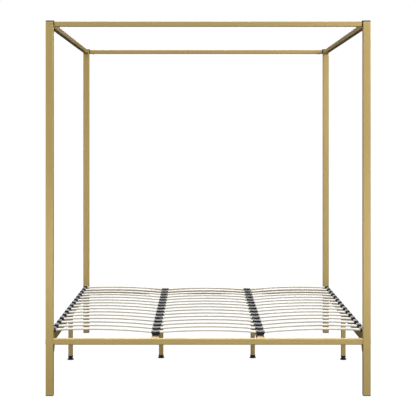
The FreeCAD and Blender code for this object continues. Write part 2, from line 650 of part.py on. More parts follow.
def legs():
    """The place of each support leg: the middle of its rail and the rail's underside."""
    places = {}
    for name, sign in SIDES.items():
        places["side_" + name] = (sign * POST_X, DECK_RAIL_BOTTOM, SIDE_FOOT_OUT)
        places["middle_" + name] = (sign * MIDDLE_RAIL_OFFSET, MIDDLE_RAIL_BOTTOM, MIDDLE_FOOT_OUT)
    return places


def support_leg(leg_x, top_z):
    """A square tube welded to the plate that is bolted under its rail."""
    leg_tube = tube(LEG_TUBE, LEG_TUBE, LEG_WALL, LEG_LENGTH - LEG_PLATE)
    leg_tube.translate(Vec(leg_x, 0, top_z - LEG_LENGTH))
    plate = block(around(leg_x, LEG_TUBE), around(0, LEG_PLATE_LENGTH), (top_z - LEG_PLATE, top_z))
    holes = [rod(M6["shank"] + BOLT_GAP, LEG_PLATE + 2 * CUT,
                 Vec(leg_x, bolt_y, top_z + CUT), Vec(0, 0, -1))
             for bolt_y in around(0, LEG_BOLT_SPACING)]
    return leg_tube.fuse(plate).cut(holes)


def leg_bolts(leg_x, top_z):
    return [bolt(M6, M6_LENGTH, Vec(leg_x, bolt_y, top_z - LEG_PLATE), Vec(0, 0, 1))
            for bolt_y in around(0, LEG_BOLT_SPACING)]


def leg_socket(leg_x, top_z):
    """A plastic plug in the leg's lower end, with a skirt around the foot's neck."""
    end_z = top_z - LEG_LENGTH
    leg_plug = plug(LEG_TUBE - 2 * LEG_WALL - 2 * PLUG_GAP, SOCKET_PLUG)
    leg_plug.translate(Vec(leg_x, 0, end_z))
    skirt = rod(SKIRT_RADIUS, SKIRT_HEIGHT, Vec(leg_x, 0, end_z), Vec(0, 0, -1))
    rim = [edge for edge in skirt.Edges if edge.BoundBox.ZMax < end_z - SKIRT_HEIGHT + EDGE]
    skirt = skirt.makeChamfer(SKIRT_ROOF / 2, rim)
    neck_room = rod(FOOT_NECK_RADIUS + NECK_GAP, SKIRT_HEIGHT - SKIRT_ROOF + CUT,
                    Vec(leg_x, 0, end_z - SKIRT_HEIGHT - CUT), Vec(0, 0, 1))
    stud_room = rod(STUD_RADIUS + STUD_HOLE_GAP, SKIRT_HEIGHT + SOCKET_PLUG + 2 * CUT,
                    Vec(leg_x, 0, end_z - SKIRT_HEIGHT - CUT), Vec(0, 0, 1))
    nut_room = rod(SOCKET_NUT_RADIUS, SOCKET_NUT_HEIGHT,
                   Vec(leg_x, 0, end_z + SOCKET_NUT_LIFT), Vec(0, 0, 1))
    return leg_plug.fuse(skirt).cut([neck_room, stud_room, nut_room])


def socket_nut(leg_x, top_z):
    """The round threaded nut moulded into a leg socket."""
    start = Vec(leg_x, 0, top_z - LEG_LENGTH + SOCKET_NUT_LIFT)
    nut = rod(SOCKET_NUT_RADIUS, SOCKET_NUT_HEIGHT, start, Vec(0, 0, 1))
    return nut.cut(rod(STUD_RADIUS + STUD_GAP, SOCKET_NUT_HEIGHT, start, Vec(0, 0, 1)))


def foot_sole(top_z, screwed_out):
    """The height of a foot's underside when it is screwed out of its socket by an amount."""
    return top_z - LEG_LENGTH - SKIRT_HEIGHT - screwed_out - FOOT_HEIGHT


def levelling_foot(leg_x, sole_z):
    """The turned plastic foot: a wide sole that flares in to a shoulder and a neck."""
    flare_start = Vec(FOOT_RADIUS, 0, FOOT_RIM)
    flare_end = Vec(SKIRT_RADIUS, 0, FOOT_HEIGHT)
    flare_middle = Vec(SKIRT_RADIUS + (FOOT_RADIUS - SKIRT_RADIUS) * FLARE_BEND, 0,
                       FOOT_RIM + (FOOT_HEIGHT - FOOT_RIM) * FLARE_BEND)
    below = Part.makePolygon([Vec(STUD_RADIUS, 0, STUD_SEAT), Vec(0, 0, STUD_SEAT), Vec(0, 0, 0),
                              Vec(FOOT_RADIUS - FOOT_CHAMFER, 0, 0),
                              Vec(FOOT_RADIUS, 0, FOOT_CHAMFER), flare_start])
    flare = Part.Arc(flare_start, flare_middle, flare_end).toShape()
    above = Part.makePolygon([flare_end, Vec(FOOT_NECK_RADIUS, 0, FOOT_HEIGHT),
                              Vec(FOOT_NECK_RADIUS, 0, FOOT_HEIGHT + FOOT_NECK_HEIGHT),
                              Vec(STUD_RADIUS, 0, FOOT_HEIGHT + FOOT_NECK_HEIGHT),
                              Vec(STUD_RADIUS, 0, STUD_SEAT)])
    outline = Part.Wire(below.Edges + [flare] + above.Edges)
    shape = Part.Face(outline).revolve(Vec(0, 0, 0), Vec(0, 0, 1), 360)
    shape.translate(Vec(leg_x, 0, sole_z))
    return shape


def levelling_stud(leg_x, sole_z):
    stud = rod(STUD_RADIUS, FOOT_HEIGHT + STUD_REACH - STUD_SEAT,
               Vec(leg_x, 0, sole_z + STUD_SEAT), Vec(0, 0, 1))
    tip = [edge for edge in stud.Edges
           if edge.BoundBox.ZMin > sole_z + FOOT_HEIGHT + STUD_REACH - EDGE]
    return stud.makeChamfer(FOOT_CHAMFER, tip)


# ---- All threaded inserts ---------------------------------------------------------------------

def threaded_inserts():
    """Sleeves in the posts and rails that the bolts screw into, and the nuts of the feet."""
    sleeves = []
    for height in bracket_bolt_heights():
        sleeves += four_corners(insert(M8_INSERT_RADIUS, M8["shank"],
                                       Vec(POST_X, INNER_Y, height), Vec(0, 1, 0)))
    mouths = []
    for sign in SIDES.values():
        mouths += leg_insert_mouths(sign * POST_X, DECK_RAIL_BOTTOM)
        mouths += leg_insert_mouths(sign * MIDDLE_RAIL_OFFSET, MIDDLE_RAIL_BOTTOM)
        mouths += hanger_insert_mouths(sign * MIDDLE_RAIL_OFFSET)
    sleeves += [insert(M6_INSERT_RADIUS, M6["shank"], mouth, Vec(0, 0, 1)) for mouth in mouths]
    sleeves += [socket_nut(leg_x, top_z) for leg_x, top_z, _ in legs().values()]
    return sleeves


# ---- The bed ----------------------------------------------------------------------------------

def build():
    nodes = {}
    corner_post = post()
    corner = corner_connector()
    for name, (sign_x, sign_y) in CORNERS.items():
        nodes["post_" + name] = mirrored(corner_post, sign_x, sign_y)
        nodes["corner_connector_" + name] = mirrored(corner, sign_x, sign_y)
    nodes["post_glides"] = group(four_corners(post_glide()))
    nodes.update(canopy_rails())
    nodes["connector_screws"] = group(connector_screws())

    for name, sign in ENDS.items():
        nodes[name + "_rail"] = end_rail(sign)
    nodes["end_rail_nut_plates"] = group(four_corners(end_rail_nut_plate()))
    nodes["end_rail_bolts"] = group(end_rail_bolts())
    nodes["side_rail_brackets"] = group(four_corners(side_rail_bracket()))
    nodes["side_rail_bolts"] = group(side_rail_bolts())
    nodes["middle_rail_hangers"] = group(four_corners(middle_rail_hanger()))
    nodes["middle_rail_bolts"] = group(middle_rail_bolts())
    nodes["threaded_inserts"] = group(threaded_inserts())
    for name, sign in SIDES.items():
        nodes["side_rail_" + name] = side_rail(sign)
        nodes["middle_rail_" + name] = middle_rail(sign)
        nodes["side_caps_" + name] = group(at_each_row(side_cap(sign)))
        nodes["middle_holders_" + name] = group(at_each_row(middle_holder(sign)))

    columns = [slat(start, end) for start, end in slat_ends()]
    for row, slat_y in enumerate(SLAT_YS, start=1):
        nodes["slat_row_%02d" % row] = group([column.translated(Vec(0, slat_y, 0))
                                              for column in columns])

    bolts = []
    sockets = []
    for name, (leg_x, top_z, screwed_out) in legs().items():
        sole_z = foot_sole(top_z, screwed_out)
        nodes["support_leg_" + name] = support_leg(leg_x, top_z)
        nodes["levelling_foot_" + name] = levelling_foot(leg_x, sole_z)
        nodes["levelling_stud_" + name] = levelling_stud(leg_x, sole_z)
        bolts += leg_bolts(leg_x, top_z)
        sockets.append(leg_socket(leg_x, top_z))
    nodes["leg_bolts"] = group(bolts)
    nodes["leg_sockets"] = group(sockets)
    return nodes


os.makedirs("parts", exist_ok=True)
for node_name, node_shape in build().items():
    node_shape.exportStep("parts/" + node_name + ".step")
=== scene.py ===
import json
import math

import bmesh
import bpy
import numpy as np
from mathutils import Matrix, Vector, noise


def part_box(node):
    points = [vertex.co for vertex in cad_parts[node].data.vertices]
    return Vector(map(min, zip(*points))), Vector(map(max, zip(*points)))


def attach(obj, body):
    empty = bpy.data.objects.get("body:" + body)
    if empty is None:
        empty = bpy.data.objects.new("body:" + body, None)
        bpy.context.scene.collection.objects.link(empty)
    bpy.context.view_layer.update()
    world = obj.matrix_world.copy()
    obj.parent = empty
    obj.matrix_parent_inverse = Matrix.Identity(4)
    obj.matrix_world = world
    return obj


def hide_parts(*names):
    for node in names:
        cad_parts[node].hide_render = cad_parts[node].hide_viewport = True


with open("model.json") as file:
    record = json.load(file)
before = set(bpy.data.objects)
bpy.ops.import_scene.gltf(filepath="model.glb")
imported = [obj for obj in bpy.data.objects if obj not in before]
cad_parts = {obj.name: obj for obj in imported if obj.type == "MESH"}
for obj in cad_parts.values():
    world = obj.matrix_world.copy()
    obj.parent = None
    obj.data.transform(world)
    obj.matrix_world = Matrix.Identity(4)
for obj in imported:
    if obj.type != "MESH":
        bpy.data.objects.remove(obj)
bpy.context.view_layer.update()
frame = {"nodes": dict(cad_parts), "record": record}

# Four poster canopy bed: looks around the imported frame. Metres, +X right, +Y head end, +Z up.

nodes_in_frame = frame["nodes"]
SIDES = {"left": -1, "right": 1}
MM = 0.001

# Finish colours, linear
GOLD_DEEP = (0.420, 0.298, 0.092)
GOLD_LIGHT = (0.480, 0.350, 0.122)
GOLD_WORN = (0.660, 0.540, 0.330)
GOLD_FLAKE = (0.780, 0.660, 0.420)
BLACK_LOW = (0.006, 0.006, 0.007)
BLACK_HIGH = (0.014, 0.014, 0.015)
WASH = (0.785, 0.770, 0.728)
BIRCH = (0.560, 0.470, 0.340)
GLUE_LINE = (0.180, 0.145, 0.100)
# Raw plies of the cut edges, made darker than the wood as painted shade along the slats' edges
CUT_EDGE_AND_SHADE = (0.430, 0.392, 0.325)
OXIDE = (0.050, 0.048, 0.046)
OXIDE_WORN = (0.250, 0.245, 0.240)
ZINC = (0.620, 0.620, 0.600)
ZINC_DULL = (0.420, 0.425, 0.430)
FLOOR_LOW = (0.030, 0.030, 0.030)
FLOOR_HIGH = (0.034, 0.034, 0.034)

# Shares of a second colour: metal flakes in the gold, and rubbed edges on plastic and steel
FLAKE_SHARE = 0.10
RUBBED_SHARE = 0.5

# Slats
SLAT_THICKNESS = 7.0 * MM
SLAT_ROUND = 1.9 * MM
SLAT_ROUND_STEPS = 4
SLAT_SIDE_DEPTH = 0.9 * SLAT_ROUND
SLAT_TIP = 0.35 * SLAT_ROUND
SLAT_PLIES = 5
SLAT_STATIONS = 44
SLAT_END_SHARE = 0.004

# Unevenness of the slats: its size, its noise cells along a slat, and the noise's step between slats
SLAT_WAVE = 0.25 * MM
WAVE_CELLS = 3.0
WAVE_STEP = 7.3
SLAT_TWIST = 0.012
TWIST_CELLS = 2.0
TWIST_STEP = 3.1
TWIST_LAYER = 5.0
GRAIN_STEP_ALONG = 1.7
GRAIN_STEP_ACROSS = 0.37

# Softened edges and moulded ribs of the holders
HOLDER_EDGE = 0.55 * MM
EDGE_SEGMENTS = 2
EDGE_PROFILE = 0.6
MERGE_DISTANCE = 0.001 * MM
FLAT_DEGREES = 1.0
SHARP_DEGREES = 28.0
RIB_RADIUS = 0.9 * MM
HOLDER_CHANNEL_DEPTH = 2.0 * MM
HOLDER_RIBS = [-8.0 * MM, -4.0 * MM, 0.0, 4.0 * MM, 8.0 * MM]
HOLDER_RIB_REACH = 22.0 * MM
CAP_RIBS = [-16.0 * MM, -8.0 * MM, 0.0, 8.0 * MM, 16.0 * MM]
CAP_RIB_START = 3.0 * MM
CAP_RIB_END = 11.0 * MM
CAP_RIB_SINK = 0.5 * MM
CAP_RIB_RADIUS = 0.5 * MM
BAR_SIDES = 10
# (distance past the bar's end, width), both in radii, from the tip inwards
BAR_DOME = [(0.9, 0.35), (0.5, 0.8), (0.0, 1.0)]

# Welds
BEAD_RADIUS = 1.7 * MM
BEAD_SIDES = 8
BEAD_RIPPLE = 2.6 * MM
BEAD_RIPPLE_STATIONS = 4
BEAD_LEAST_STATIONS = 8
BEAD_SWELL = 0.16
BEAD_UNEVENNESS = 0.5 * BEAD_SWELL
BEAD_NOISE_SCALE = 160.0
BEAD_TIP = 0.55
LEG_PLATE = 3.0 * MM

# Threads of the levelling studs
THREAD_PITCH = 1.25 * MM
THREAD_DEPTH = 0.65 * MM
THREAD_SIDES = 24
THREAD_TURN_STATIONS = 6

# What lights the bed all around: (position, level) stops from straight below to straight above, in
# front of the bed and behind it, and how the first gives way to the second from front to back
FRONT_LEVELS = [(0.0, 0.04), (0.44, 0.10), (0.58, 0.62), (0.78, 1.35), (1.0, 0.70)]
BACK_LEVELS = [(0.0, 0.02), (0.44, 0.03), (0.61, 0.06), (0.74, 0.65), (1.0, 0.70)]
FRONT_TO_BACK = [(0.35, 0.0), (0.65, 1.0)]

# White that the camera sees behind the bed, and the floor's own glow that meets it
WALL_STRENGTH = 1.01
FLOOR_GLOW_LOW = 0.965
FLOOR_GLOW_HIGH = 0.985
FLOOR_REACH = 40.0
FLOOR_DROP = 0.3 * MM

# Sockets of a Mix node that is set to mix colours
MIX_AMOUNT = 0
MIX_FIRST = 6
MIX_SECOND = 7
MIX_RESULT = 2


# ---- Nodes of a material ----------------------------------------------------------------------

def set_stops(ramp, stops):
    """Fills a colour ramp from stops: (position, colour), or (position, grey level)."""
    while len(ramp.elements) < len(stops):
        ramp.elements.new(0.5)
    for element, (position, colour) in zip(ramp.elements, stops):
        element.position = position
        element.color = (*colour, 1.0) if isinstance(colour, tuple) else (colour, colour, colour, 1.0)


def brighter(colour, times):
    return tuple(min(1.0, times * channel) for channel in colour)


class Surface:
    """A material with a Principled shader, and short ways to add and join its nodes."""

    def __init__(self, name, **values):
        self.material = bpy.data.materials.new(name)
        self.material.use_nodes = True
        self.tree = self.material.node_tree
        self.shader = self.tree.nodes["Principled BSDF"]
        for socket, value in values.items():
            self.shader.inputs[socket.replace("_", " ")].default_value = value

    def add(self, kind, **settings):
        node = self.tree.nodes.new("ShaderNode" + kind)
        for name, value in settings.items():
            setattr(node, name, value)
        return node

    def join(self, source, target):
        self.tree.links.new(source, target)

    def feed(self, value, socket):
        """Joins a socket to another node's, or sets it to a colour or a number."""
        if isinstance(value, bpy.types.NodeSocket):
            self.join(value, socket)
        else:
            socket.default_value = (*value, 1.0) if isinstance(value, tuple) else value

    def place(self):
        return self.add("TexCoord").outputs["Object"]

    def stretched(self, vector, scale):
        node = self.add("Mapping")
        node.inputs["Scale"].default_value = scale
        self.join(vector, node.inputs["Vector"])
        return node.outputs["Vector"]

    def noise(self, vector, scale=1.0, detail=2.0, roughness=0.5, distortion=0.0):
        node = self.add("TexNoise")
        node.inputs["Scale"].default_value = scale
        node.inputs["Detail"].default_value = detail
        node.inputs["Roughness"].default_value = roughness
        node.inputs["Distortion"].default_value = distortion
        self.join(vector, node.inputs["Vector"])
        return node.outputs["Fac"]

    def cells(self, vector, scale):
        node = self.add("TexVoronoi")
        node.inputs["Scale"].default_value = scale
        self.join(vector, node.inputs["Vector"])
        return node.outputs["Color"], node.outputs["Distance"]

    def ramp(self, value, stops, interpolation="EASE"):
        node = self.add("ValToRGB")
        node.color_ramp.interpolation = interpolation
        set_stops(node.color_ramp, stops)
        self.join(value, node.inputs["Fac"])
        return node.outputs["Color"]

    def mix(self, amount, first, second):
        node = self.add("Mix", data_type="RGBA")
        self.feed(amount, node.inputs[MIX_AMOUNT])
        self.feed(first, node.inputs[MIX_FIRST])
        self.feed(second, node.inputs[MIX_SECOND])
        return node.outputs[MIX_RESULT]

    def maths(self, operation, first, second=None):
        node = self.add("Math", operation=operation)
        self.feed(first, node.inputs[0])
        if second is not None:
            self.feed(second, node.inputs[1])
        return node.outputs[0]

    def blended(self, first, second, first_share):
        return self.maths("ADD", self.maths("MULTIPLY", first, first_share),
                          self.maths("MULTIPLY", second, 1.0 - first_share))

    def fitted(self, value, low, high):
        node = self.add("MapRange")
        node.inputs["To Min"].default_value = low
        node.inputs["To Max"].default_value = high
        self.join(value, node.inputs["Value"])
        return node.outputs["Result"]

    def bump(self, heights):
        """One bump after another, from (height, distance in metres, strength)."""
        previous = None
        for height, distance, strength in heights:
            node = self.add("Bump")
            node.inputs["Distance"].default_value = distance
            node.inputs["Strength"].default_value = strength
            self.join(height, node.inputs["Height"])
            if previous is not None:
                self.join(previous, node.inputs["Normal"])
            previous = node.outputs["Normal"]
        self.join(previous, self.shader.inputs["Normal"])

    def edges(self, radius, low, high):
        """1 where the surface turns sharply within a radius, and 0 on flat faces."""
        rounded = self.add("Bevel", samples=4)
        rounded.inputs["Radius"].default_value = radius
        flat = self.add("NewGeometry")
        dot = self.add("VectorMath", operation="DOT_PRODUCT")
        self.join(rounded.outputs["Normal"], dot.inputs[0])
        self.join(flat.outputs["Normal"], dot.inputs[1])
        turned = self.maths("SUBTRACT", 1.0, dot.outputs["Value"])
        return self.ramp(turned, [(low, 0.0), (high, 1.0)])

    def finish_with(self, colour, roughness):
        self.join(colour, self.shader.inputs["Base Color"])
        self.join(roughness, self.shader.inputs["Roughness"])
        return self.material


# ---- Finishes ---------------------------------------------------------------------------------

def gold_paint():
    """Champagne powder coat: fine metal flakes, a slight orange peel and thin wear on sharp edges."""
    s = Surface("champagne_powder_coat", Metallic=0.45, Specular_IOR_Level=0.5,
                Coat_Weight=0.12, Coat_Roughness=0.25)
    place = s.place()
    broad = s.noise(place, scale=2.1, detail=3.0)
    cloud = s.noise(place, scale=38.0, detail=4.0, roughness=0.6)
    peel = s.noise(place, scale=620.0)
    flake_colour, flake_distance = s.cells(place, scale=2600.0)
    flakes = s.ramp(flake_colour, [(0.0, GOLD_DEEP), (1.0, GOLD_FLAKE)], "LINEAR")
    base = s.mix(FLAKE_SHARE, s.mix(broad, GOLD_DEEP, GOLD_LIGHT), flakes)
    patches = s.ramp(cloud, [(0.46, 0.0), (0.62, 0.6)])
    wear = s.maths("MULTIPLY", s.edges(0.9 * MM, low=0.10, high=0.45), patches)
    base = s.mix(wear, base, GOLD_WORN)
    rough = s.fitted(s.blended(cloud, broad, first_share=0.6), low=0.34, high=0.48)
    s.bump([(peel, 0.05 * MM, 0.35), (flake_distance, 0.01 * MM, 0.2)])
    return s.finish_with(base, rough)


def moulded_plastic(name, rough_low, rough_high, grain_depth, dust):
    """Black moulded plastic: a fine spark-eroded grain, faint flow marks, rubbed edges and dust."""
    s = Surface(name, Specular_IOR_Level=0.22, Sheen_Weight=dust, Sheen_Roughness=0.3)
    place = s.place()
    grain = s.noise(place, scale=1500.0, detail=3.0, roughness=0.6)
    flow = s.noise(s.stretched(place, (30.0, 30.0, 110.0)), detail=3.0, distortion=0.6)
    rubbed = s.maths("MULTIPLY", s.edges(0.7 * MM, low=0.08, high=0.40), RUBBED_SHARE)
    base = s.mix(rubbed, s.mix(flow, BLACK_LOW, BLACK_HIGH), brighter(BLACK_HIGH, times=3.0))
    rough = s.fitted(s.blended(grain, flow, first_share=0.4), rough_low, rough_high)
    s.bump([(grain, grain_depth, 0.5), (flow, 0.06 * MM, 0.15)])
    return s.finish_with(base, rough)


def washed_wood():
    """Whitewashed bent plywood, its grain along the slat and its veneers showing on the edges, with
    painted shade darkening the edges past the raw ply colour.
    """
    s = Surface("whitewashed_plywood", Specular_IOR_Level=0.4)
    board = s.add("Attribute", attribute_name="board").outputs["Vector"]
    figure = s.noise(s.stretched(board, (2.2, 60.0, 60.0)), detail=6.0, roughness=0.6, distortion=0.8)
    fibre = s.noise(s.stretched(board, (9.0, 900.0, 900.0)), detail=4.0, roughness=0.65)
    pores = s.noise(s.stretched(board, (60.0, 2400.0, 2400.0)))
    wood = s.mix(s.ramp(figure, [(0.35, 0.0), (0.65, 1.0)]), BIRCH, brighter(BIRCH, times=1.25))
    base = s.mix(s.ramp(fibre, [(0.30, 0.72), (0.62, 0.97)]), wood, WASH)
    base = s.mix(s.ramp(pores, [(0.62, 0.0), (0.74, 0.35)]), base, BIRCH)
    split = s.add("SeparateXYZ")
    s.join(board, split.inputs[0])
    layer = s.maths("FRACT", s.maths("MULTIPLY", split.outputs["Z"], SLAT_PLIES / SLAT_THICKNESS))
    glue = s.ramp(layer, [(0.0, 0.75), (0.10, 0.0), (0.90, 0.0), (1.0, 0.75)], "LINEAR")
    side = s.add("Attribute", attribute_name="side").outputs["Fac"]
    # Edges and ends take the raw ply colour, darkened further as painted shade
    base = s.mix(s.maths("MULTIPLY", side, s.fitted(figure, low=0.75, high=0.95)), base, CUT_EDGE_AND_SHADE)
    base = s.mix(s.maths("MULTIPLY", glue, side), base, GLUE_LINE)
    s.bump([(figure, 0.15 * MM, 0.25), (fibre, 0.08 * MM, 0.4), (pores, 0.04 * MM, 0.4)])
    return s.finish_with(base, s.fitted(fibre, low=0.42, high=0.66))


def fastener_steel(name, low, high, rough_low, rough_high):
    """Plated steel of a fastener: fine turning marks, cloudy plating and bright rubbed edges."""
    s = Surface(name, Metallic=0.9)
    place = s.place()
    cloud = s.noise(place, scale=140.0, detail=4.0, roughness=0.6)
    turning = s.noise(s.stretched(place, (180.0, 180.0, 5200.0)))
    base = s.mix(s.ramp(cloud, [(0.35, 0.0), (0.70, 1.0)]), low, high)
    rubbed = s.maths("MULTIPLY", s.edges(0.4 * MM, low=0.08, high=0.4), RUBBED_SHARE)
    base = s.mix(rubbed, base, brighter(high, times=2.2))
    s.bump([(turning, 0.02 * MM, 0.4)])
    return s.finish_with(base, s.fitted(turning, rough_low, rough_high))


def floor_paint():
    """A plain white studio floor, lit to the same white as the wall, with a faint haze."""
    s = Surface("studio_floor", Specular_IOR_Level=0.1, Emission_Color=(1.0, 1.0, 1.0, 1.0))
    haze = s.noise(s.place(), scale=0.8, detail=3.0)
    s.join(s.fitted(haze, FLOOR_GLOW_LOW, FLOOR_GLOW_HIGH), s.shader.inputs["Emission Strength"])
    return s.finish_with(s.mix(haze, FLOOR_LOW, FLOOR_HIGH), s.fitted(haze, low=0.7, high=0.85))


finishes = {
    "gold_paint": gold_paint(),
    "black_plastic": moulded_plastic("black_moulding", rough_low=0.42, rough_high=0.62,
                                     grain_depth=0.05 * MM, dust=0.05),
    "holder_plastic": moulded_plastic("holder_moulding", rough_low=0.26, rough_high=0.44,
                                      grain_depth=0.03 * MM, dust=0.65),
    "slat_wood": washed_wood(),
    "bolt_steel": fastener_steel("black_oxide_steel", OXIDE, OXIDE_WORN, rough_low=0.30, rough_high=0.48),
    "zinc_steel": fastener_steel("bright_zinc_steel", ZINC_DULL, ZINC, rough_low=0.22, rough_high=0.42),
}


def paint_frame():
    """Gives each CAD node the finish of its record slot."""
    for part in frame["record"]["subparts"]:
        for material_slot in nodes_in_frame[part["node"]].material_slots:
            material_slot.material = finishes[part["material_slot"]]


# ---- Reading the frame ------------------------------------------------------------------------

def nodes_named(prefix):
    return sorted(node for node in nodes_in_frame if node.startswith(prefix))


def centre_of(node, axis):
    low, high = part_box(node)
    return (low[axis] + high[axis]) / 2


def rows_y():
    return [centre_of(node, 1) for node in nodes_named("slat_row_")]


# ---- Mesh helpers -----------------------------------------------------------------------------

def piece(name, bm, slot_name, body="frame", sharp_degrees=35.0):
    """A finished piece from a bmesh: smooth-shaded, painted, and riding on its body."""
    bmesh.ops.recalc_face_normals(bm, faces=bm.faces)
    mesh = bpy.data.meshes.new(name)
    bm.to_mesh(mesh)
    bm.free()
    for polygon in mesh.polygons:
        polygon.use_smooth = True
    mesh.set_sharp_from_angle(angle=math.radians(sharp_degrees))
    mesh.materials.append(finishes[slot_name])
    made = bpy.data.objects.new(name, mesh)
    bpy.context.scene.collection.objects.link(made)
    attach(made, body)
    return made


def loft(bm, rings):
    """A closed skin over rings of points, with flat ends. Returns its vertices, ring by ring."""
    layers = [[bm.verts.new(point) for point in ring] for ring in rings]
    count = len(rings[0])
    for near, far in zip(layers, layers[1:]):
        for index in range(count):
            following = (index + 1) % count
            bm.faces.new((near[index], near[following], far[following], far[index]))
    bm.faces.new(layers[0])
    bm.faces.new(layers[-1][::-1])
    return layers


def axes_between(start, end):
    """Three unit vectors at right angles, the first from start to end."""
    along = (end - start).normalized()
    across = along.orthogonal().normalized()
    return along, across, along.cross(across)


def circle(centre, across, up, radius, sides):
    turns = [2 * math.pi * side / sides for side in range(sides)]
    return [centre + across * radius * math.cos(turn) + up * radius * math.sin(turn) for turn in turns]


def rounded_section(width, height, radius, steps):
    """Points around a rounded rectangle, centred on zero, as (across, up)."""
    points = []
    for corner, (sign_a, sign_b) in enumerate([(1, 1), (-1, 1), (-1, -1), (1, -1)]):
        centre_a = sign_a * (width / 2 - radius)
        centre_b = sign_b * (height / 2 - radius)
        for step in range(steps + 1):
            angle = math.pi / 2 * (corner + step / steps)
            points.append((centre_a + radius * math.cos(angle), centre_b + radius * math.sin(angle)))
    return points


# ---- Slats ------------------------------------------------------------------------------------

def slat_arc(points):
    """The circle through a slat's two ends and its crown, from its CAD vertices."""
    left, right = points[:, 0].min(), points[:, 0].max()

    def end_at(x):
        near = points[np.abs(points[:, 0] - x) < (right - left) * SLAT_END_SHARE]
        return x, (near[:, 2].min() + near[:, 2].max()) / 2

    ax, az = end_at(left)
    bx, bz = points[points[:, 2].argmax(), 0], points[:, 2].max() - SLAT_THICKNESS / 2
    cx, cz = end_at(right)
    d = 2 * (ax * (bz - cz) + bx * (cz - az) + cx * (az - bz))
    a2, b2, c2 = ax * ax + az * az, bx * bx + bz * bz, cx * cx + cz * cz
    centre_x = (a2 * (bz - cz) + b2 * (cz - az) + c2 * (az - bz)) / d
    centre_z = (a2 * (cx - bx) + b2 * (ax - cx) + c2 * (bx - ax)) / d
    radius = math.hypot(ax - centre_x, az - centre_z)
    start = math.atan2(az - centre_z, ax - centre_x)
    stop = math.atan2(cz - centre_z, cx - centre_x)
    return centre_x, centre_z, radius, start, stop


def add_slat(bm, points, low_y, high_y, seed):
    """One bowed slat along its CAD arc, with rounded edges and a very slight wave and twist."""
    centre_x, centre_z, radius, start, stop = slat_arc(points)
    length = abs(stop - start) * radius
    width = high_y - low_y
    middle_y = (low_y + high_y) / 2
    section = rounded_section(width, SLAT_THICKNESS, SLAT_ROUND, SLAT_ROUND_STEPS)
    rings = []
    facts = []
    for station in range(SLAT_STATIONS + 1):
        share = station / SLAT_STATIONS
        at_end = station in (0, SLAT_STATIONS)
        angle = start + (stop - start) * share
        outward = Vector((math.cos(angle), 0.0, math.sin(angle)))
        fade = math.sin(math.pi * share)
        wave_place = Vector((share * WAVE_CELLS, seed * WAVE_STEP, 0.0))
        twist_place = Vector((share * TWIST_CELLS, seed * TWIST_STEP, TWIST_LAYER))
        wave = SLAT_WAVE * fade * noise.noise(wave_place)
        twist = SLAT_TWIST * fade * noise.noise(twist_place)
        tip = SLAT_TIP if at_end else 0.0
        ring = []
        for across, up in section:
            a = across * (1 - 2 * tip / width)
            u = up * (1 - 2 * tip / SLAT_THICKNESS)
            distance = radius + u + wave + a * twist
            ring.append(Vector((centre_x, middle_y + a, centre_z)) + outward * distance)
            where = (share * length + seed * GRAIN_STEP_ALONG, across + seed * GRAIN_STEP_ACROSS,
                     up + SLAT_THICKNESS / 2)
            facts.append((where, float(at_end or abs(across) > width / 2 - SLAT_SIDE_DEPTH)))
        rings.append(ring)
    layers = loft(bm, rings)
    board = bm.verts.layers.float_vector["board"]
    side = bm.verts.layers.float["side"]
    for vertex, (where, on_side) in zip((v for layer in layers for v in layer), facts):
        vertex[board] = where
        vertex[side] = on_side


def build_slats():
    """A detailed slat over each CAD slat: one piece for each row of three."""
    left_split, right_split = (centre_of("middle_rail_" + name, 0) for name in SIDES)
    for row, node in enumerate(nodes_named("slat_row_")):
        points = np.array([v.co for v in nodes_in_frame[node].data.vertices])
        across, along = points[:, 0], points[:, 1]
        bm = bmesh.new()
        bm.verts.layers.float_vector.new("board")
        bm.verts.layers.float.new("side")
        columns = [points[across < left_split],
                   points[(across > left_split) & (across < right_split)],
                   points[across > right_split]]
        for column, column_points in enumerate(columns):
            seed = row * len(columns) + column + 1
            add_slat(bm, column_points, along.min(), along.max(), seed)
        made = piece(node + "_veneered", bm, "slat_wood", sharp_degrees=50.0)
        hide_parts(node)


# ---- Slat holders -----------------------------------------------------------------------------

def softened(node):
    """A bmesh of a CAD node with its flat faces joined up and its sharp edges rounded over."""
    bm = bmesh.new()
    bm.from_mesh(nodes_in_frame[node].data)
    bmesh.ops.remove_doubles(bm, verts=bm.verts, dist=MERGE_DISTANCE)
    bmesh.ops.dissolve_limit(bm, angle_limit=math.radians(FLAT_DEGREES), verts=bm.verts, edges=bm.edges)
    sharp = [edge for edge in bm.edges
             if len(edge.link_faces) == 2 and edge.calc_face_angle(0.0) > math.radians(SHARP_DEGREES)]
    bmesh.ops.bevel(bm, geom=sharp, offset=HOLDER_EDGE, segments=EDGE_SEGMENTS, profile=EDGE_PROFILE,
                    affect="EDGES", clamp_overlap=True)
    return bm


def add_bar(bm, start, end, radius):
    """A round bar with domed ends, half sunk where it is put on a surface."""
    start, end = Vector(start), Vector(end)
    along, across, up = axes_between(start, end)
    near = [(start - along * radius * past, radius * width) for past, width in BAR_DOME]
    far = [(end + along * radius * past, radius * width) for past, width in reversed(BAR_DOME)]
    loft(bm, [circle(centre, across, up, size, BAR_SIDES) for centre, size in near + far])


def build_middle_holders():
    """Each double holder with softened edges and moulded ribs in the channel along its top."""
    for name in SIDES:
        node = "middle_holders_" + name
        bm = softened(node)
        middle = centre_of(node, 0)
        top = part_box(node)[1].z - HOLDER_CHANNEL_DEPTH
        for y in rows_y():
            for offset in HOLDER_RIBS:
                x = middle + offset
                add_bar(bm, (x, y - HOLDER_RIB_REACH, top), (x, y + HOLDER_RIB_REACH, top), RIB_RADIUS)
        made = piece(node + "_moulded", bm, "holder_plastic")
        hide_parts(node)


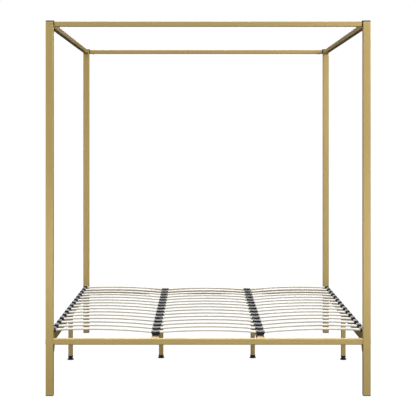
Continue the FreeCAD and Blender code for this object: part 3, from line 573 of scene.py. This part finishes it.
def build_side_caps():
    """Each side cap with softened edges and grip ribs at the outer end of its top."""
    for name, sign in SIDES.items():
        node = "side_caps_" + name
        low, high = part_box(node)
        bm = softened(node)
        outer = low.x if sign < 0 else high.x
        rib_start = outer - sign * CAP_RIB_START
        rib_end = outer - sign * CAP_RIB_END
        top = high.z - CAP_RIB_SINK
        for y in rows_y():
            for offset in CAP_RIBS:
                add_bar(bm, (rib_start, y + offset, top), (rib_end, y + offset, top), CAP_RIB_RADIUS)
        made = piece(node + "_moulded", bm, "holder_plastic")
        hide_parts(node)


# ---- Welds ------------------------------------------------------------------------------------

def add_bead(bm, start, end):
    """A painted weld bead along an inside corner, with its ripples."""
    start, end = Vector(start), Vector(end)
    along, across, up = axes_between(start, end)
    length = (end - start).length
    stations = max(BEAD_LEAST_STATIONS, round(length / BEAD_RIPPLE) * BEAD_RIPPLE_STATIONS)
    rings = []
    for station in range(stations + 1):
        distance = length * station / stations
        centre = start + along * distance
        ripple = abs(math.sin(math.pi * distance / BEAD_RIPPLE))
        uneven = noise.noise(centre * BEAD_NOISE_SCALE)
        tip = BEAD_TIP if station in (0, stations) else 1.0
        swell = 1.0 - BEAD_SWELL + BEAD_SWELL * ripple + BEAD_UNEVENNESS * uneven
        rings.append(circle(centre, across, up, BEAD_RADIUS * tip * swell, BEAD_SIDES))
    loft(bm, rings)


def build_bracket_welds():
    """Beads around the ends of the side rails, where the brackets' plates are welded on."""
    bm = bmesh.new()
    for name in SIDES:
        low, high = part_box("side_rail_" + name)
        for y in (low.y, high.y):
            for x in (low.x, high.x):
                add_bead(bm, (x, y, low.z), (x, y, high.z - BEAD_RADIUS))
            add_bead(bm, (low.x, y, low.z), (high.x, y, low.z))
    piece("bracket_welds", bm, "gold_paint", sharp_degrees=60.0)


def build_hanger_welds():
    """Beads around the backs of the hangers, on the foot and head rails."""
    low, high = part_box("middle_rail_hangers")
    reach = high.x - centre_of("middle_rail_right", 0)
    bm = bmesh.new()
    for name in SIDES:
        middle = centre_of("middle_rail_" + name, 0)
        for y in (low.y, high.y):
            for x in (middle - reach, middle + reach):
                add_bead(bm, (x, y, low.z), (x, y, high.z))
            add_bead(bm, (middle - reach, y, low.z), (middle + reach, y, low.z))
    piece("hanger_welds", bm, "gold_paint", sharp_degrees=60.0)


def build_leg_welds():
    """Beads in front of and behind the tops of the support legs, under their plates."""
    bm = bmesh.new()
    for node in nodes_named("support_leg_"):
        low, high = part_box(node)
        half = (high.x - low.x) / 2
        z = high.z - LEG_PLATE
        for y in (-half, half):
            add_bead(bm, (low.x, y, z), (high.x, y, z))
    piece("leg_welds", bm, "gold_paint", sharp_degrees=60.0)


# ---- Levelling studs --------------------------------------------------------------------------

def build_studs():
    """Each levelling stud with its thread cut as a helix."""
    for node in nodes_named("levelling_stud_"):
        low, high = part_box(node)
        radius = (high.x - low.x) / 2
        height = high.z - low.z
        x, y = centre_of(node, 0), centre_of(node, 1)
        stations = round(height / THREAD_PITCH) * THREAD_TURN_STATIONS
        rings = []
        for station in range(stations + 1):
            rise = height * station / stations
            from_end = min(rise, height - rise)
            ring = []
            for side in range(THREAD_SIDES):
                phase = (rise / THREAD_PITCH - side / THREAD_SIDES) % 1.0
                groove = THREAD_DEPTH * (1.0 - abs(2.0 * phase - 1.0))
                size = radius - max(groove, THREAD_DEPTH - from_end)
                turn = 2 * math.pi * side / THREAD_SIDES
                ring.append((x + size * math.cos(turn), y + size * math.sin(turn), low.z + rise))
            rings.append(ring)
        bm = bmesh.new()
        loft(bm, rings)
        body = node.replace("levelling_stud", "foot")
        made = piece(node + "_threaded", bm, "zinc_steel", body, sharp_degrees=50.0)
        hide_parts(node)


# ---- Stage, light and camera ------------------------------------------------------------------

def build_floor():
    bm = bmesh.new()
    bmesh.ops.create_grid(bm, x_segments=8, y_segments=8, size=FLOOR_REACH)
    mesh = bpy.data.meshes.new("studio_floor")
    bm.to_mesh(mesh)
    bm.free()
    mesh.materials.append(floor_paint())
    floor = bpy.data.objects.new("studio_floor", mesh)
    floor.location.z = -FLOOR_DROP
    floor.visible_diffuse = False
    floor.visible_glossy = False
    bpy.context.scene.collection.objects.link(floor)


def build_world():
    """White to the camera. What lights the bed is brightest in front, and dim behind and below."""
    world = bpy.data.worlds.new("studio")
    world.use_nodes = True
    bpy.context.scene.world = world
    tree = world.node_tree
    new = tree.nodes.new
    link = tree.links.new
    tree.nodes.clear()
    direction = new("ShaderNodeTexCoord")
    split = new("ShaderNodeSeparateXYZ")
    link(direction.outputs["Generated"], split.inputs[0])

    def levels(axis, stops):
        spread = new("ShaderNodeMapRange")
        spread.inputs["From Min"].default_value = -1.0
        link(split.outputs[axis], spread.inputs["Value"])
        ramp = new("ShaderNodeValToRGB")
        set_stops(ramp.color_ramp, stops)
        link(spread.outputs["Result"], ramp.inputs["Fac"])
        return ramp.outputs["Color"]

    blend = new("ShaderNodeMix")
    blend.data_type = "RGBA"
    link(levels("Y", FRONT_TO_BACK), blend.inputs[MIX_AMOUNT])
    link(levels("Z", FRONT_LEVELS), blend.inputs[MIX_FIRST])
    link(levels("Z", BACK_LEVELS), blend.inputs[MIX_SECOND])
    lighting = new("ShaderNodeBackground")
    link(blend.outputs[MIX_RESULT], lighting.inputs["Color"])
    wall = new("ShaderNodeBackground")
    wall.inputs["Color"].default_value = (1.0, 1.0, 1.0, 1.0)
    wall.inputs["Strength"].default_value = WALL_STRENGTH
    rays = new("ShaderNodeLightPath")
    mix = new("ShaderNodeMixShader")
    out = new("ShaderNodeOutputWorld")
    link(rays.outputs["Is Camera Ray"], mix.inputs[0])
    link(lighting.outputs[0], mix.inputs[1])
    link(wall.outputs[0], mix.inputs[2])
    link(mix.outputs[0], out.inputs["Surface"])


def area_light(name, place, aim, size, power):
    data = bpy.data.lights.new(name, "AREA")
    data.shape = "RECTANGLE"
    data.size, data.size_y = size
    data.energy = power
    lamp = bpy.data.objects.new(name, data)
    lamp.location = place
    lamp.rotation_euler = (Vector(aim) - Vector(place)).to_track_quat("-Z", "Y").to_euler()
    lamp.visible_camera = False
    bpy.context.scene.collection.objects.link(lamp)


def build_lights():
    """Softboxes: one above and two beside the head end, and three in front of the foot end."""
    area_light("back_softbox", place=(0.0, 5.5, 4.5), aim=(0.0, -0.5, 0.3), size=(4.0, 2.0), power=270.0)
    for name, sign in SIDES.items():
        area_light("rear_" + name + "_softbox", place=(sign * 5.5, 6.5, 1.8), aim=(0.0, 0.0, 1.0),
                   size=(3.0, 3.0), power=45.0)
    area_light("low_softbox", place=(0.0, -3.0, 0.5), aim=(0.0, -1.0, 0.15), size=(4.6, 0.5), power=16.0)
    area_light("key_softbox", place=(3.0, -3.5, 2.6), aim=(0.8, -1.0, 1.9), size=(1.5, 1.5), power=98.0)
    area_light("fill_softbox", place=(-3.0, -3.5, 2.0), aim=(-0.8, -1.0, 0.8), size=(1.5, 1.5), power=22.0)


def build_camera():
    """A level camera in front of the foot end, at chest height, shifted to frame the whole bed."""
    data = bpy.data.cameras.new("photo_camera")
    data.lens = 112.07
    data.sensor_width = 36.0
    data.shift_x = 0.0204
    data.shift_y = -0.168
    data.clip_end = 200.0
    camera = bpy.data.objects.new("photo_camera", data)
    camera.location = (-0.043, -7.496, 1.282)
    camera.rotation_euler = (math.pi / 2, 0.0, 0.0)
    bpy.context.scene.collection.objects.link(camera)
    bpy.context.scene.camera = camera


paint_frame()
build_slats()
build_middle_holders()
build_side_caps()
build_bracket_welds()
build_hanger_welds()
build_leg_welds()
build_studs()
build_floor()
build_world()
build_lights()
build_camera()
bpy.context.scene.view_settings.view_transform = "Standard"

bpy.context.view_layer.update()
